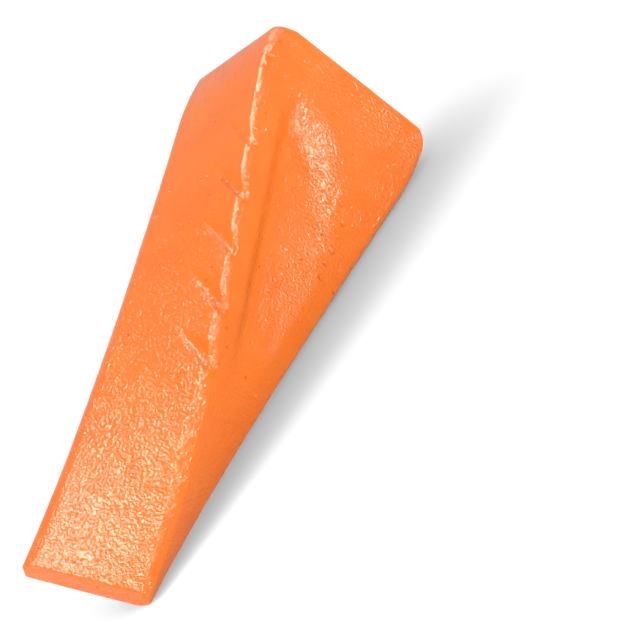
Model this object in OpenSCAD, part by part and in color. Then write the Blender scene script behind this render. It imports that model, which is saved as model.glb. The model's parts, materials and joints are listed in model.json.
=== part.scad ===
// Twisted steel splitting wedge, drop forged in one piece and painted all over.
// Drawn along its own axis from the struck face to the cutting edge, then laid down
// the way it rests on flat ground: on one end of the cutting edge and two corners of the head.
// All sizes in millimetres and degrees.

/* [Body] */
// Struck face to cutting edge, along the axis
length = 200; // [170:1:240]
// Between the two hollowed side faces at the head
head_width = 50.2; // [42:0.2:60]
// Between the two broad faces, produced to the struck face
head_thick = 73.8; // [64:0.2:86]
// Length of the cutting edge
edge_width = 41.4; // [34:0.1:50]
// Thickness of the blunt cutting edge
edge_thick = 8.2; // [6:0.1:12]
// How far each broad face swells out at half length
broad_swell = 0.2; // [0:0.05:1.5]
// Left-hand turn of the cutting edge against the head
twist = 48; // [20:0.5:60]
// Share of the turn that gathers towards the cutting edge
twist_bias = 0.45; // [0:0.01:0.9]

/* [Head] */
// How far each broad face draws in at the struck face, in a gentle curve
head_crown = 3.7; // [1:0.1:5]
// How far down the axis that curve starts
head_crown_reach = 26; // [18:0.5:32]
// Round-over from each broad face to the struck face
head_round = 6; // [4:0.1:8]
// Small edge break from each side face to the struck face
head_break = 1.5; // [0.8:0.1:3]

/* [Corners] */
// Smooth long corners, across the broad face
heel_across = 4.6; // [3.5:0.1:6]
// Smooth long corners, down the side face
heel_down = 2.8; // [2:0.1:4]
// Barbed long corners, across the broad face
barb_across = 3.4; // [2.6:0.1:4.2]
// Barbed long corners, down the side face
barb_down = 4.4; // [3.2:0.1:5.2]
// Where the flank of a barbed corner would meet the broad face
barb_knee = 1.9; // [1.2:0.1:2.4]
// Share of that size which a barbed corner keeps along its barbs
barb_slim = 0.58; // [0.5:0.01:1]

/* [Barbs] */
// Barbs on each barbed corner
barb_count = 5; // [3:1:5]
// Struck face to the first step
barb_first = 52; // [46:0.5:58]
// Step to step
barb_pitch = 19.5; // [17:0.5:22]
// Height of each step at the corner
barb_depth = 2.5; // [1.2:0.1:3.2]
// Length of the notch above each step, along the corner
barb_run = 7.5; // [5:0.1:10]
// Width that the face of a step takes along the corner
barb_step = 2.8; // [1:0.1:3.2]
// How far each step runs in across the broad face
barb_reach = 16; // [12:0.5:19]
// How far each step leans towards the head over that reach
barb_lean = 15; // [8:0.5:17]

/* [Hollow] */
// Struck face to the top of the hollow in each side face
hollow_start = 19; // [15:0.5:24]
// How much further down its gentle side starts
hollow_slant = 40; // [30:1:60]
// Length over which it reaches its full depth
hollow_lead = 16; // [8:0.5:18]
// Struck face to the point where the hollow runs out
hollow_end = 132; // [115:1:150]
// Deepest part of the hollow
hollow_depth = 3.6; // [2:0.1:5]
// Barbed corner to the foot of the steep wall
hollow_margin = 17; // [14:0.1:19]
// Width of the steep wall
hollow_wall = 7.5; // [5:0.1:9]
// Smooth corner to the gentle side of the hollow
hollow_heel = 10; // [8:0.1:13]

/* [Paint] */
// Thickness of the paint film
film = 0.25; // [0.2:0.01:0.4]

/* [Hidden] */
paint_orange = [1.0, 0.45, 0.08];
bare_steel = [0.55, 0.56, 0.58];

// Where the barbs begin and end along the axis, and how far their rows may lean
barb_last = barb_first + (barb_count - 1) * barb_pitch;
barb_lead = barb_first - barb_run - barb_step / 2;
lean = min(barb_lean, 0.62 * barb_lead);

// Points on each long corner, and on the hollowed and broad faces between them
corner_n = 3;
hollow_n = 5;

function mix(p, q, k) = p + (q - p) * k;
function ramp(x, lo, hi) = max(0, min(1, (x - lo) / (hi - lo)));
function ease(k) = k * k * (3 - 2 * k);

// Section along the axis: half sizes between the faces, and the turn
function half_w(z) = mix(head_width, edge_width, z / length) / 2;
function half_t(z) =
    mix(head_thick, edge_thick, z / length) / 2 + 4 * broad_swell * (z / length) * (1 - z / length);
function turn(z) = -twist * mix(z / length, pow(z / length, 2), twist_bias);

// How far a face is drawn in by the round at the struck face, for the skin at this depth
function rounded_in(z, r, in) = z < r ? r - sqrt(max(0, pow(r - in, 2) - pow(r - z, 2))) : in;
function crown(z) = head_crown * pow(max(0, 1 - z / head_crown_reach), 2);
function side_at(z, in) = half_w(z) - rounded_in(z, head_break, in);
function broad_at(z, in) = half_t(z) - crown(z) - rounded_in(z, head_round, in);

// Long corners, never more than the blunt edge has room for
function room(z, size) = min(size, 0.68 * half_t(z));
function heel_rise(k) = mix(1 - cos(90 * k), k, 0.55);
function barb_size(z) = 1 - (1 - barb_slim) * ease(ramp(z, head_round, 0.8 * barb_lead))
    * (1 - ease(ramp(z, barb_last - 2 * barb_pitch, mix(barb_last, length, 0.4))));
function barb_rise(k, across, knee) = 2 * k * (1 - k) * knee + k * k * across;
function barb_fall(k, down) = pow(1 - k, 2) * down;

// Stations along the axis
head_z = [for (i = [0 : 6]) head_round * (1 - cos(15 * i))];
lead_z = [for (i = [1 : 5]) mix(head_round, barb_lead, i / 6)];
step_z = [-barb_run - barb_step / 2, -0.55 * barb_run, -barb_step / 2, barb_step / 2];
barb_z = [for (k = [0 : barb_count - 1], p = step_z) barb_first + k * barb_pitch + p];
tail_z = [for (i = [1 : 10]) mix(barb_last + barb_step / 2, length, i / 10)];
stations = concat(head_z, lead_z, barb_z, tail_z);

// Depth of the three-sided notch above each step, this far in from the barbed corner
function notch(u, left) = let (half = barb_step / 2)
    barb_depth * left * ramp(u, -barb_run * left - 0.5 - half, -half) * (1 - ramp(u, -half, half));
function barb_cut(z, q) = let (left = max(0, 1 - q / barb_reach))
    max([for (k = [0 : barb_count - 1]) (k == 0 ? 0.6 : 1) * notch(z - barb_first - k * barb_pitch, left)]);
// The stations lean towards the head across the broad face, so the steps run on a slant
function lean_at(z) = lean * ramp(z, 0, barb_lead) * (1 - ramp(z, barb_last + barb_step / 2, length));
function lean_share(q, wide) = q < barb_reach ? q / barb_reach : max(0, (wide - q) / (wide - barb_reach));
// A point of the broad face, this far in from the barbed corner and down from the face
function broad_point(q, down, z0, z, wide, in) = let (zq = z - lean_at(z0) * lean_share(q, wide))
    [side_at(zq, in) - q, broad_at(zq, in) - down - barb_cut(z0, q), zq];

// Depth of the side hollow: k runs from its gentle side to the foot of its steep wall
function hollow_at(z, k) = let (top = hollow_start + hollow_slant * pow(1 - k, 2.3))
    hollow_depth * ease(ramp(z, top, top + hollow_lead))
    * ease(ramp(z, hollow_end, mix(hollow_start, hollow_end, 0.6)));

// The station of the inner skin follows the film: in from both ends, behind each step
function film_z(z, in) = z + in * (1 - 2 * ramp(z, barb_last + barb_step / 2, length));

// Half of one section, from the smooth corner over the side face and barbed corner to the next
function half_section(z0, in) = let (
    z = film_z(z0, in),
    a = side_at(z, in),
    b = broad_at(z, in),
    hw = heel_across - in,
    ht = room(z, heel_down) - in,
    size = barb_size(z),
    bw = barb_across * size - in,
    bt = room(z, barb_down) * size - in,
    lo = -b + ht,
    hi = b - bt,
    heel = min(0.36, (hollow_heel - in - ht) / (hi - lo)),
    foot = 1 - min(0.40, (hollow_margin - in - bt) / (hi - lo)),
    wall = 1 - min(0.18, (hollow_margin - hollow_wall - in - bt) / (hi - lo)),
    wide = 2 * a - hw)
    concat(
        [for (i = [0 : corner_n]) let (k = i / corner_n)
            [a - hw * heel_rise(1 - k), -b + ht * heel_rise(k), z]],
        [for (i = [0 : hollow_n]) let (k = i / hollow_n)
            [a - hollow_at(z, k) * pow(sin(90 * k), 1.25), mix(lo, hi, mix(heel, foot, k)), z]],
        [[a, mix(lo, hi, wall), z]],
        [for (i = [0 : corner_n]) let (k = i / corner_n)
            broad_point(barb_rise(k, bw, barb_knee * size * size), barb_fall(k, bt), z0, z, wide, in)],
        [for (q = [mix(bw, barb_reach, 0.33), mix(bw, barb_reach, 0.67), barb_reach,
                mix(barb_reach, wide, 0.4), mix(barb_reach, wide, 0.75)])
            broad_point(q, 0, z0, z, wide, in)]);

// A whole section has two equal halves, half a turn apart
function flip(p) = [-p[0], -p[1], p[2]];
function turned(p) = let (g = turn(p[2]))
    [p[0] * cos(g) - p[1] * sin(g), p[0] * sin(g) + p[1] * cos(g), p[2]];
function section(z, in) = let (h = half_section(z, in))
    [for (p = concat(h, [for (p = h) flip(p)])) turned(p)];
function skin(in) = concat(
    [for (z = stations, p = section(z, in)) p],
    [[0, 0, film_z(0, in)], [0, 0, film_z(length, in)]]);

// Faces of a skin: rings of triangles between stations, and a fan round the middle of each flat end
ring_n = len(section(0, 0));
rows = len(stations);
function at(i, j) = i * ring_n + j % ring_n;
faces = concat(
    [for (j = [0 : ring_n - 1]) [rows * ring_n, at(0, j), at(0, j + 1)]],
    [for (j = [0 : ring_n - 1]) [rows * ring_n + 1, at(rows - 1, j + 1), at(rows - 1, j)]],
    [for (i = [0 : rows - 2], j = [0 : ring_n - 1], h = [0, 1])
        h == 0 ? [at(i, j), at(i + 1, j), at(i + 1, j + 1)] : [at(i, j), at(i + 1, j + 1), at(i, j + 1)]]);

// Resting pose: the ground touches one end of the cutting edge and both lower corners of the head
outside = skin(0);
edge_points = [for (p = outside) if (p[2] > length - 0.01) p];
head_points = [for (p = outside) if (p[2] < length / 2 && p[1] < 0) p];
near_points = [for (p = head_points) if (p[0] > 0) p];
far_points = [for (p = head_points) if (p[0] < 0) p];
function lowest(points, down) = let (depth = [for (p = points) p * down], most = max(depth))
    [for (i = [0 : len(points) - 1]) if (depth[i] == most) points[i]][0];
function unit(v) = v / norm(v);
function ground(down, tries) = tries == 0 ? down : let (
    edge = lowest(edge_points, down),
    near = lowest(near_points, down),
    far = lowest(far_points, down))
    ground(unit(cross(far - edge, near - edge)), tries - 1);
down = ground([0, -1, 0], 8);
ahead = unit([0, 0, -1] - down * ([0, 0, -1] * down));
across = cross(ahead, -down);
function laid(p) = [p * across, p * ahead, -p * down];
resting = [for (p = outside) laid(p)];
function span(k) = let (v = [for (p = resting) p[k]]) [min(v), max(v)];
low = [for (k = [0 : 2]) span(k)[0]];
high = [for (k = [0 : 2]) span(k)[1]];
shift = [-(low[0] + high[0]) / 2, -(low[1] + high[1]) / 2, -low[2]];
function placed(points) = [for (p = points) laid(p) + shift];

module solid_skin(in) {
    polyhedron(points = placed(skin(in)), faces = faces, convexity = 6);
}

// Drop-forged steel body
module steel_forging() {
    color(bare_steel) solid_skin(film);
}

// Paint film over the whole forging
module paint_coat() {
    color(paint_orange) difference() {
        solid_skin(0);
        solid_skin(film);
    }
}

steel_forging();
paint_coat();
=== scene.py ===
import json
import math

import bmesh
import bpy
from mathutils import Matrix, Vector, noise


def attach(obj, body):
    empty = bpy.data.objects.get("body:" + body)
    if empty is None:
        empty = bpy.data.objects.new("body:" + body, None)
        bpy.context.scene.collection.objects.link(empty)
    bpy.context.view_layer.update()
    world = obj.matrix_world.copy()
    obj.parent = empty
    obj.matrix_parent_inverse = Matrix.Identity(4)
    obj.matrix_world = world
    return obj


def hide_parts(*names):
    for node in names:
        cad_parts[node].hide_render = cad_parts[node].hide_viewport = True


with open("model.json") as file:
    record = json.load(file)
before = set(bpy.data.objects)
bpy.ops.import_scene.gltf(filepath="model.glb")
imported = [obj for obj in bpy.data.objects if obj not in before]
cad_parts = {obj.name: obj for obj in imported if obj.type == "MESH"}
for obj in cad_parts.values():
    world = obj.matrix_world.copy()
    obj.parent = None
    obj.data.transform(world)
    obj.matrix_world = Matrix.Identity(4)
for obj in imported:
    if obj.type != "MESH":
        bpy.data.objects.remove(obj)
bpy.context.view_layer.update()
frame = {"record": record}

# Sizes of the forging, in millimetres and degrees, along its own axis from the struck face
LENGTH = 200.0
HEAD_WIDTH = 50.2
HEAD_THICK = 73.8
EDGE_WIDTH = 41.4
EDGE_THICK = 8.2
BROAD_SWELL = 0.2
TWIST = 48.0
TWIST_BIAS = 0.45
HEAD_CROWN = 3.7
HEAD_CROWN_REACH = 26.0
HEAD_ROUND = 6.0
HEAD_BREAK = 1.5
EDGE_BREAK = 0.45
HEEL_ACROSS = 4.6
HEEL_DOWN = 2.8
HEEL_FLAT = 0.55
BARB_ACROSS = 3.4
BARB_DOWN = 4.4
BARB_KNEE = 1.9
BARB_SLIM = 0.58
FAR_SLIM = 0.6
FAR_START = 40.0
FAR_END = 4.0
SHARP_ANGLE = 48.0

# Barbs on two opposite long corners
BARB_COUNT = 5
BARB_FIRST = 52.0
BARB_PITCH = 19.5
BARB_DEPTH = 2.5
BARB_REACH = 16.0
BARB_LEAN = 15.0
BARB_RUN = 7.5
BARB_STEP = 2.8
BARB_RUN_LEAST = 0.5
BARB_FIRST_SHARE = 0.6
BARB_LEAD = BARB_FIRST - BARB_RUN - BARB_STEP / 2
BARB_LAST = BARB_FIRST + (BARB_COUNT - 1) * BARB_PITCH

# Hollow in each side face
HOLLOW_START = 19.0
HOLLOW_LEAD = 13.0
HOLLOW_SOFT = 1.7
HOLLOW_SLANT = 40.0
HOLLOW_SWEEP = 2.3
HOLLOW_FADE = 0.6
HOLLOW_ROUND = 1.25
HOLLOW_END = 132.0
HOLLOW_DEPTH = 3.6
HOLLOW_MARGIN = 17.0
HOLLOW_WALL = 7.5
HOLLOW_HEEL = 10.0
HOLLOW_WALL_EASE = 0.6

# The most that a corner takes of half the thickness, and the hollow's lines of the side face
CORNER_LIMIT = 0.68
HEEL_LIMIT = 0.36
FOOT_LIMIT = 0.40
WALL_LIMIT = 0.24

# Columns of the paint sheet over half of the section, zone by zone
SKIN_COLUMNS = {
    "heel_corner": 8,
    "heel_flat": 8,
    "hollow_floor": 32,
    "hollow_wall": 8,
    "barb_strip": 5,
    "barb_corner": 9,
    "barb_field": 20,
    "broad_face": 34,
}
CORE_COLUMNS = {zone: max(2, count // 4) for zone, count in SKIN_COLUMNS.items()}
SKIN_STEP = 1.25
CORE_STEP = 5.0
CORE_INSET = 0.9
SWELL_DEPTH = 0.2
SWELL_SIZE = 14.0
END_INSET = 0.3


def mix(low, high, share):
    return low + (high - low) * share


def ramp(value, low, high):
    return max(0.0, min(1.0, (value - low) / (high - low)))


def ease(share):
    return share * share * (3.0 - 2.0 * share)


def half_width(z):
    return mix(HEAD_WIDTH, EDGE_WIDTH, z / LENGTH) / 2


def half_thick(z):
    s = z / LENGTH
    return mix(HEAD_THICK, EDGE_THICK, s) / 2 + 4 * BROAD_SWELL * s * (1 - s)


def turn(z):
    s = z / LENGTH
    return -math.radians(TWIST) * mix(s, s * s, TWIST_BIAS)


def rounded_in(away, radius):
    """How far a face is drawn in by the round at an end that is this far away."""
    if away >= radius:
        return 0.0
    return radius - math.sqrt(max(0.0, radius ** 2 - (radius - away) ** 2))


def side_at(z):
    return half_width(z) - max(rounded_in(z, HEAD_BREAK), rounded_in(LENGTH - z, EDGE_BREAK))


def broad_at(z):
    crown = HEAD_CROWN * max(0.0, 1.0 - z / HEAD_CROWN_REACH) ** 2
    return half_thick(z) - crown - max(rounded_in(z, HEAD_ROUND), rounded_in(LENGTH - z, EDGE_BREAK))


def heel_rise(k):
    return mix(1.0 - math.cos(math.radians(90.0 * k)), k, HEEL_FLAT)


def barb_cut(z, q):
    """Depth of the three-sided notch above each barb, this far in from the barbed corner."""
    left = max(0.0, 1.0 - q / BARB_REACH)
    run = BARB_RUN * left + BARB_RUN_LEAST
    deepest = 0.0
    for k in range(BARB_COUNT):
        u = z - (BARB_FIRST + k * BARB_PITCH)
        size = BARB_DEPTH * left * (BARB_FIRST_SHARE if k == 0 else 1.0)
        fall = ease(ramp(u, -run - BARB_STEP / 2, -BARB_STEP / 2))
        rise = ease(ramp(u, -BARB_STEP / 2, BARB_STEP / 2))
        deepest = max(deepest, size * fall * (1.0 - rise))
    return deepest


def barb_lean(z):
    return BARB_LEAN * ramp(z, 0.0, BARB_LEAD) * (1.0 - ramp(z, BARB_LAST + BARB_STEP, LENGTH))


def barb_size(z, far):
    """Share of its full size that a barbed corner has.

    It is least along the barbs, and on the far corner also at the cutting edge.
    """
    slim = ease(ramp(z, 0.0, 0.4 * BARB_LEAD))
    slim *= 1.0 - ease(ramp(z, BARB_LAST - 2 * BARB_PITCH, mix(BARB_LAST, LENGTH, 0.4)))
    size = 1.0 - (1.0 - BARB_SLIM) * slim
    if far:
        size -= FAR_SLIM * ease(ramp(z, LENGTH - FAR_START, LENGTH - FAR_END))
    return size


def hollow_depth(z, share):
    """Depth of the side hollow; share runs from its gentle side to the foot of its steep wall."""
    start = HOLLOW_START + HOLLOW_SLANT * (1.0 - share) ** HOLLOW_SWEEP
    lead = HOLLOW_LEAD * (1.0 + HOLLOW_SOFT * (1.0 - share))
    fade = ramp(z, HOLLOW_END, mix(HOLLOW_START, HOLLOW_END, HOLLOW_FADE))
    return HOLLOW_DEPTH * ease(ramp(z, start, start + lead)) * ease(fade)


def hollow_floor(z, share):
    """How far the floor of the hollow lies below the side face."""
    return hollow_depth(z, share) * math.sin(math.radians(90.0 * share)) ** HOLLOW_ROUND


def section_point(zone, k, z, inset, far):
    """One point of half a section: across the width, across the thickness, along the axis."""
    a = side_at(z) - inset
    b = broad_at(z) - inset
    heel_w = HEEL_ACROSS - inset
    size = barb_size(z, far)
    barb_w = BARB_ACROSS * size - inset
    most = CORNER_LIMIT * half_thick(z)
    heel_t = min(HEEL_DOWN, most) - inset
    barb_t = min(BARB_DOWN, most) * size - inset
    low = -b + heel_t
    high = b - barb_t
    heel = mix(low, high, min(HEEL_LIMIT, (HOLLOW_HEEL - inset - heel_t) / (high - low)))
    foot = mix(high, low, min(FOOT_LIMIT, (HOLLOW_MARGIN - inset - barb_t) / (high - low)))
    top = HOLLOW_MARGIN - HOLLOW_WALL - inset - barb_t
    wall = mix(high, low, min(WALL_LIMIT, top / (high - low)))
    if zone == "heel_corner":
        return a - heel_w * heel_rise(1.0 - k), -b + heel_t * heel_rise(k), z
    if zone == "heel_flat":
        return a, mix(low, heel, k), z
    if zone == "hollow_floor":
        return a - hollow_floor(z, k), mix(heel, foot, k), z
    if zone == "hollow_wall":
        return a - hollow_depth(z, 1.0) * (1.0 - mix(k, ease(k), HOLLOW_WALL_EASE)), mix(foot, wall, k), z
    if zone == "barb_strip":
        return a, mix(wall, high, k), z
    wide = 2 * a - heel_w
    if zone == "barb_corner":
        q = 2 * k * (1 - k) * BARB_KNEE * size * size + k * k * barb_w
        down = (1 - k) ** 2 * barb_t
    elif zone == "barb_field":
        q = mix(barb_w, BARB_REACH, k)
        down = 0.0
    else:
        q = mix(BARB_REACH, wide, k)
        down = 0.0
    if q < BARB_REACH:
        share = q / BARB_REACH
    else:
        share = max(0.0, (wide - q) / (wide - BARB_REACH))
    down += barb_cut(z, q)
    z -= barb_lean(z) * share
    return side_at(z) - inset - q, broad_at(z) - inset - down, z


def stations(step, fine):
    """Distances along the axis for the rings of a sheet: close at the head, the barbs and the edge."""
    rings = [HEAD_ROUND * (1.0 - math.cos(math.radians(90.0 * i / 12))) for i in range(13)]
    marks = []
    for k in range(BARB_COUNT):
        here = BARB_FIRST + k * BARB_PITCH
        marks += [here + BARB_STEP * i / fine for i in range(-fine, fine + 1)]
    marks += [LENGTH - EDGE_BREAK]
    for mark in marks:
        count = max(1, math.ceil((mark - rings[-1]) / step))
        start = rings[-1]
        rings += [mix(start, mark, (i + 1) / count) for i in range(count)]
    rings += [LENGTH - EDGE_BREAK * (1.0 - math.sin(math.radians(30.0 * i))) for i in range(1, 4)]
    return rings


def wrapped_sheet(columns, rings, inset):
    """Rolls a flat grid round the twisted section, seams it and closes both ends."""
    half = [(zone, i / count) for zone, count in columns.items() for i in range(count)]
    around = len(half) * 2
    bm = bmesh.new()
    bmesh.ops.create_grid(bm, x_segments=around, y_segments=len(rings) - 1, size=1.0)
    for vert in bm.verts:
        column = round((vert.co.x + 1.0) / 2.0 * around) % around
        ring = round((vert.co.y + 1.0) / 2.0 * (len(rings) - 1))
        zone, k = half[column % len(half)]
        z = min(LENGTH - inset, max(inset, rings[ring]))
        w, t, z = section_point(zone, k, z, inset, column >= len(half))
        if column >= len(half):
            w, t = -w, -t
        g = turn(z)
        vert.co = (w * math.cos(g) - t * math.sin(g), w * math.sin(g) + t * math.cos(g), z)
    bmesh.ops.remove_doubles(bm, verts=bm.verts, dist=1e-4)
    ends = bmesh.ops.holes_fill(bm, edges=[e for e in bm.edges if e.is_boundary])["faces"]
    bmesh.ops.recalc_face_normals(bm, faces=bm.faces)
    return bm, ends


# The pose on the ground follows the struck face that the record states,
# rolled on to two corners of the head
REST_ROLL = math.radians(-2.926)
struck = frame["record"]["mounts"][0]
pitch = math.atan2(struck["axis"][2], struck["axis"][1])
lay_down = (
    Matrix.Translation(Vector(struck["pos_m"]))
    @ Matrix.Rotation(pitch, 4, "X")
    @ Matrix.Rotation(REST_ROLL, 4, "Y")
    @ Matrix.Rotation(math.radians(90.0), 4, "X")
    @ Matrix.Scale(0.001, 4)
)


def finished(bm, name, material):
    """Lays a sheet down where the CAD part lies and makes it an object."""
    bmesh.ops.transform(bm, matrix=lay_down, verts=bm.verts)
    mesh = bpy.data.meshes.new(name)
    bm.to_mesh(mesh)
    bm.free()
    mesh.shade_smooth()
    mesh.set_sharp_from_angle(angle=math.radians(SHARP_ANGLE))
    mesh.materials.append(material)
    piece = bpy.data.objects.new(name, mesh)
    bpy.context.collection.objects.link(piece)
    return piece


def node_maker(owner):
    """The calls that add and join the nodes of a material or of the world."""
    tree = owner.node_tree
    tree.nodes.clear()

    def add(kind, **values):
        made = tree.nodes.new(kind)
        for key, value in values.items():
            if hasattr(made, key):
                setattr(made, key, value)
            else:
                made.inputs[key.replace("_", " ").title()].default_value = value
        return made

    return add, tree.links.new


def ranged(add, low, high, to_low, to_high, kind="LINEAR"):
    made = add("ShaderNodeMapRange", interpolation_type=kind)
    made.inputs["From Min"].default_value = low
    made.inputs["From Max"].default_value = high
    made.inputs["To Min"].default_value = to_low
    made.inputs["To Max"].default_value = to_high
    return made


def orange_paint():
    """Glossy paint with an orange-peel grain, small drops and dark pits."""
    material = bpy.data.materials.new("orange_paint_over_forging")
    material.use_nodes = True
    add, join = node_maker(material)
    place = add("ShaderNodeTexCoord")
    out = add("ShaderNodeOutputMaterial")
    shader = add("ShaderNodeBsdfPrincipled", roughness=0.06)
    shader.inputs["IOR"].default_value = 1.5
    shader.inputs["Specular IOR Level"].default_value = 0.28
    join(shader.outputs[0], out.inputs["Surface"])

    def field(kind, **values):
        made = add(kind, **values)
        join(place.outputs["Object"], made.inputs["Vector"])
        return made

    peel = field("ShaderNodeTexNoise", scale=980.0, detail=1.0, roughness=0.5, distortion=0.4)
    swell = field("ShaderNodeTexNoise", scale=170.0, detail=3.0, roughness=0.5)
    drift = field("ShaderNodeTexNoise", scale=45.0, detail=3.0, roughness=0.6)
    drops = field("ShaderNodeTexVoronoi", scale=300.0)
    pits = field("ShaderNodeTexVoronoi", scale=230.0)

    tone = add("ShaderNodeValToRGB")
    tone.color_ramp.elements[0].position = 0.3
    tone.color_ramp.elements[0].color = (0.93, 0.165, 0.006, 1.0)
    tone.color_ramp.elements[1].position = 0.7
    tone.color_ramp.elements[1].color = (0.96, 0.190, 0.009, 1.0)
    join(drift.outputs["Fac"], tone.inputs["Fac"])

    def spots(cells, size, share):
        """Round spots of this size in a share of the cells."""
        near = ranged(add, size, 0.0, 0.0, 1.0, "SMOOTHSTEP")
        join(cells.outputs["Distance"], near.inputs["Value"])
        pick = add("ShaderNodeMath", operation="GREATER_THAN")
        pick.inputs[1].default_value = 1.0 - share
        join(cells.outputs["Color"], pick.inputs[0])
        both = add("ShaderNodeMath", operation="MULTIPLY")
        join(near.outputs["Result"], both.inputs[0])
        join(pick.outputs[0], both.inputs[1])
        return both

    drop = spots(drops, 0.18, 0.8)
    pit = spots(pits, 0.15, 0.3)
    specked = add("ShaderNodeMix", data_type="RGBA")
    join(pit.outputs[0], specked.inputs["Factor"])
    join(tone.outputs["Color"], specked.inputs[6])
    specked.inputs[7].default_value = (0.45, 0.04, 0.004, 1.0)
    join(specked.outputs[2], shader.inputs["Base Color"])

    def scaled(source, amount):
        made = add("ShaderNodeMath", operation="MULTIPLY")
        made.inputs[1].default_value = amount
        join(source, made.inputs[0])
        return made

    def total(one, two):
        made = add("ShaderNodeMath", operation="ADD")
        join(one.outputs[0], made.inputs[0])
        join(two.outputs[0], made.inputs[1])
        return made

    # The grain is coarser towards the cutting edge
    axis = add("ShaderNodeSeparateXYZ")
    join(place.outputs["Object"], axis.inputs[0])
    coarse = ranged(add, -0.02, 0.05, 1.5, 1.08)
    join(axis.outputs["Y"], coarse.inputs["Value"])
    grain = scaled(peel.outputs["Fac"], 1.0)
    join(coarse.outputs["Result"], grain.inputs[1])
    height = total(grain, scaled(swell.outputs["Fac"], 0.9))
    height = total(height, scaled(drop.outputs[0], 0.5))
    height = total(height, scaled(pit.outputs[0], -0.3))
    bump = add("ShaderNodeBump", strength=1.0, distance=0.0004)
    join(height.outputs[0], bump.inputs["Height"])
    join(bump.outputs["Normal"], shader.inputs["Normal"])
    return material


def forged_steel():
    """Bare forged steel with patches of scale, under the paint."""
    material = bpy.data.materials.new("forged_steel_scale")
    material.use_nodes = True
    add, join = node_maker(material)
    place = add("ShaderNodeTexCoord")
    out = add("ShaderNodeOutputMaterial")
    shader = add("ShaderNodeBsdfPrincipled", metallic=1.0)
    join(shader.outputs[0], out.inputs["Surface"])
    scale = add("ShaderNodeTexNoise", scale=240.0, detail=5.0, roughness=0.6)
    join(place.outputs["Object"], scale.inputs["Vector"])
    tone = add("ShaderNodeValToRGB")
    tone.color_ramp.elements[0].color = (0.16, 0.155, 0.16, 1.0)
    tone.color_ramp.elements[1].color = (0.42, 0.41, 0.41, 1.0)
    join(scale.outputs["Fac"], tone.inputs["Fac"])
    join(tone.outputs["Color"], shader.inputs["Base Color"])
    dull = ranged(add, 0.0, 1.0, 0.35, 0.6)
    join(scale.outputs["Fac"], dull.inputs["Value"])
    join(dull.outputs["Result"], shader.inputs["Roughness"])
    bump = add("ShaderNodeBump", strength=0.5, distance=0.0003)
    join(scale.outputs["Fac"], bump.inputs["Height"])
    join(bump.outputs["Normal"], shader.inputs["Normal"])
    return material


def uneven(bm, depth, size):
    """Leaves the low swells of hammer and die, always inwards from the full size."""
    bm.normal_update()
    moves = []
    for vert in bm.verts:
        swell = noise.noise(vert.co / size) * 0.65 + noise.noise(vert.co / (size * 0.4)) * 0.35
        moves.append(vert.normal * (-depth * ramp(swell, -0.7, 0.7)))
    for vert, move in zip(bm.verts, moves):
        vert.co += move


# Drops of paint along the gentle side of one hollow:
# distance from the struck face, and from the smooth corner
BEADS = ((44.1, 17.9), (49.4, 13.8), (54.6, 13.0), (60.1, 12.2), (65.4, 11.6), (70.6, 10.4))
BEAD_SIZE = 1.2
BEAD_SPREAD = 0.25
BEAD_RISE = 0.6
BEAD_SINK = 0.1


def bead(bm, z, heel):
    """A flattened drop of paint that stands on the side face."""
    size = BEAD_SIZE + BEAD_SPREAD * noise.cell(Vector((z, heel, 0.0)))
    t = heel - broad_at(z)
    share = ramp(t, HOLLOW_HEEL - broad_at(z), broad_at(z) - HOLLOW_MARGIN)
    w = side_at(z) - hollow_floor(z, share)
    place = (
        Matrix.Rotation(turn(z), 4, "Z")
        @ Matrix.Translation((w - BEAD_SINK, t, z))
        @ Matrix.Diagonal((BEAD_RISE, 1, 1, 1))
    )
    bmesh.ops.create_icosphere(bm, subdivisions=3, radius=size, matrix=place)


# The painted skin, and the steel under it
skin, ends = wrapped_sheet(SKIN_COLUMNS, stations(SKIN_STEP, 4), 0.0)
bmesh.ops.inset_individual(skin, faces=ends, thickness=END_INSET, use_even_offset=True)
uneven(skin, SWELL_DEPTH, SWELL_SIZE)
for z, heel in BEADS:
    bead(skin, z, heel)
paint = finished(skin, "painted_skin", orange_paint())
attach(paint, "root")
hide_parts("paint_coat")
# The floor takes no orange cast from the paint, so its shadow stays grey
paint.visible_diffuse = False

core, _ = wrapped_sheet(CORE_COLUMNS, stations(CORE_STEP, 1), CORE_INSET)
steel = finished(core, "forged_core", forged_steel())
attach(steel, "root")
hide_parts("steel_forging")


def seen_rays(add):
    """One for rays that show the background: from the camera, in gloss and through glass."""
    path = add("ShaderNodeLightPath")
    tree = path.id_data
    first = add("ShaderNodeMath", operation="MAXIMUM")
    both = add("ShaderNodeMath", operation="MAXIMUM")
    tree.links.new(path.outputs["Is Camera Ray"], first.inputs[0])
    tree.links.new(path.outputs["Is Glossy Ray"], first.inputs[1])
    tree.links.new(first.outputs[0], both.inputs[0])
    tree.links.new(path.outputs["Is Transmission Ray"], both.inputs[1])
    return both


def white_floor():
    """White paper that keeps the shadow, lifted to white where it is seen."""
    material = bpy.data.materials.new("white_sweep")
    material.use_nodes = True
    add, join = node_maker(material)
    out = add("ShaderNodeOutputMaterial")
    paper = add("ShaderNodeBsdfDiffuse")
    paper.inputs["Color"].default_value = (0.88, 0.88, 0.88, 1.0)
    glow = add("ShaderNodeEmission")
    both = add("ShaderNodeAddShader")
    lift = add("ShaderNodeMath", operation="MULTIPLY")
    lift.inputs[1].default_value = 0.23
    join(seen_rays(add).outputs[0], lift.inputs[0])
    join(lift.outputs[0], glow.inputs["Strength"])
    join(paper.outputs[0], both.inputs[0])
    join(glow.outputs[0], both.inputs[1])
    join(both.outputs[0], out.inputs["Surface"])
    return material


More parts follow.
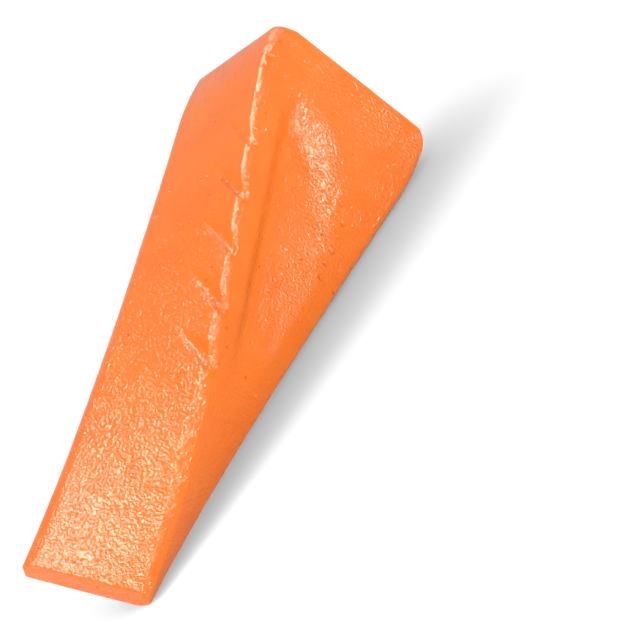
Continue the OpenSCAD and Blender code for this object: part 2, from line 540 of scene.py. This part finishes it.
ground = bmesh.new()
bmesh.ops.create_grid(ground, x_segments=4, y_segments=4, size=6.0)
floor_mesh = bpy.data.meshes.new("floor")
ground.to_mesh(floor_mesh)
ground.free()
floor_mesh.materials.append(white_floor())
floor = bpy.data.objects.new("floor", floor_mesh)
bpy.context.collection.objects.link(floor)

# A pale room that is brightest towards the upper left
world = bpy.data.worlds.new("studio")
bpy.context.scene.world = world
world.use_nodes = True
add, join = node_maker(world)
out = add("ShaderNodeOutputWorld")
sky = add("ShaderNodeBackground")
sky.inputs["Color"].default_value = (1.0, 1.0, 1.0, 1.0)
toward = add("ShaderNodeTexCoord")
lean = add("ShaderNodeVectorMath", operation="DOT_PRODUCT")
lean.inputs[1].default_value = (-0.79, 0.20, 0.58)
level = ranged(add, -0.3, 0.8, 0.25, 0.62)
join(toward.outputs["Generated"], lean.inputs[0])
join(lean.outputs["Value"], level.inputs["Value"])
join(level.outputs["Result"], sky.inputs["Strength"])
join(sky.outputs[0], out.inputs["Surface"])


def softbox(name, place, aim, wide, deep, radiance, rays, color=(1.0, 1.0, 1.0)):
    """An oblong softbox that faces the wedge and lights only the rays that are named.

    Its power follows from how bright its face is.
    """
    lamp = bpy.data.lights.new(name, "AREA")
    lamp.shape = "RECTANGLE"
    lamp.color = color
    lamp.size = wide
    lamp.size_y = deep
    lamp.energy = radiance * math.pi * wide * deep
    box = bpy.data.objects.new(name, lamp)
    box.location = place
    box.rotation_euler = (Vector(place) - Vector(aim)).to_track_quat("Z", "Y").to_euler()
    box.visible_diffuse = "diffuse" in rays
    box.visible_glossy = "glossy" in rays
    bpy.context.collection.objects.link(box)


# Fills for the faces, then boxes for the glints: broad face, hollow and barbed corner
WARM = (1.0, 0.95, 0.82)
softbox("fill_left", (-1.20, -0.75, 1.90), (0.0, 0.0, 0.02), 1.4, 1.4, 4.3, "diffuse")
softbox("fill_right", (2.25, -0.12, 0.50), (0.02, 0.0, 0.03), 1.3, 0.9, 10.6, "diffuse")
softbox("fill_front", (-0.15, -2.20, 0.75), (0.0, -0.09, 0.02), 1.2, 0.9, 5.6, "diffuse")
softbox("softbox_high", (0.65, 0.35, 1.78), (0.01, -0.03, 0.03), 1.38, 0.88, 38.0, "glossy", WARM)
softbox("softbox_low", (1.92, 0.20, 0.24), (0.02, 0.04, 0.04), 0.80, 0.42, 70.0, "glossy", WARM)
softbox("softbox_back", (0.95, 1.10, 1.22), (0.02, 0.02, 0.05), 0.6, 0.6, 42.0, "glossy", WARM)

# Camera at the photograph's viewing angle
AZIMUTH = math.radians(51.67)
ELEVATION = math.radians(16.85)
ROLL = math.radians(-46.38)
DISTANCE = 0.9474
AIM = Vector((0.02216, 0.01653, 0.00321))
ahead = Vector((
    -math.sin(AZIMUTH) * math.cos(ELEVATION),
    math.cos(AZIMUTH) * math.cos(ELEVATION),
    -math.sin(ELEVATION),
))
lens = bpy.data.cameras.new("camera")
lens.sensor_width = 36.0
lens.lens = 168.75
lens.clip_start = 0.01
camera = bpy.data.objects.new("camera", lens)
camera.location = AIM - ahead * DISTANCE
level_view = ahead.to_track_quat("-Z", "Y").to_matrix()
camera.rotation_euler = (level_view @ Matrix.Rotation(ROLL, 3, "Z")).to_euler()
bpy.context.collection.objects.link(camera)
bpy.context.scene.camera = camera
bpy.context.scene.view_settings.view_transform = "Standard"
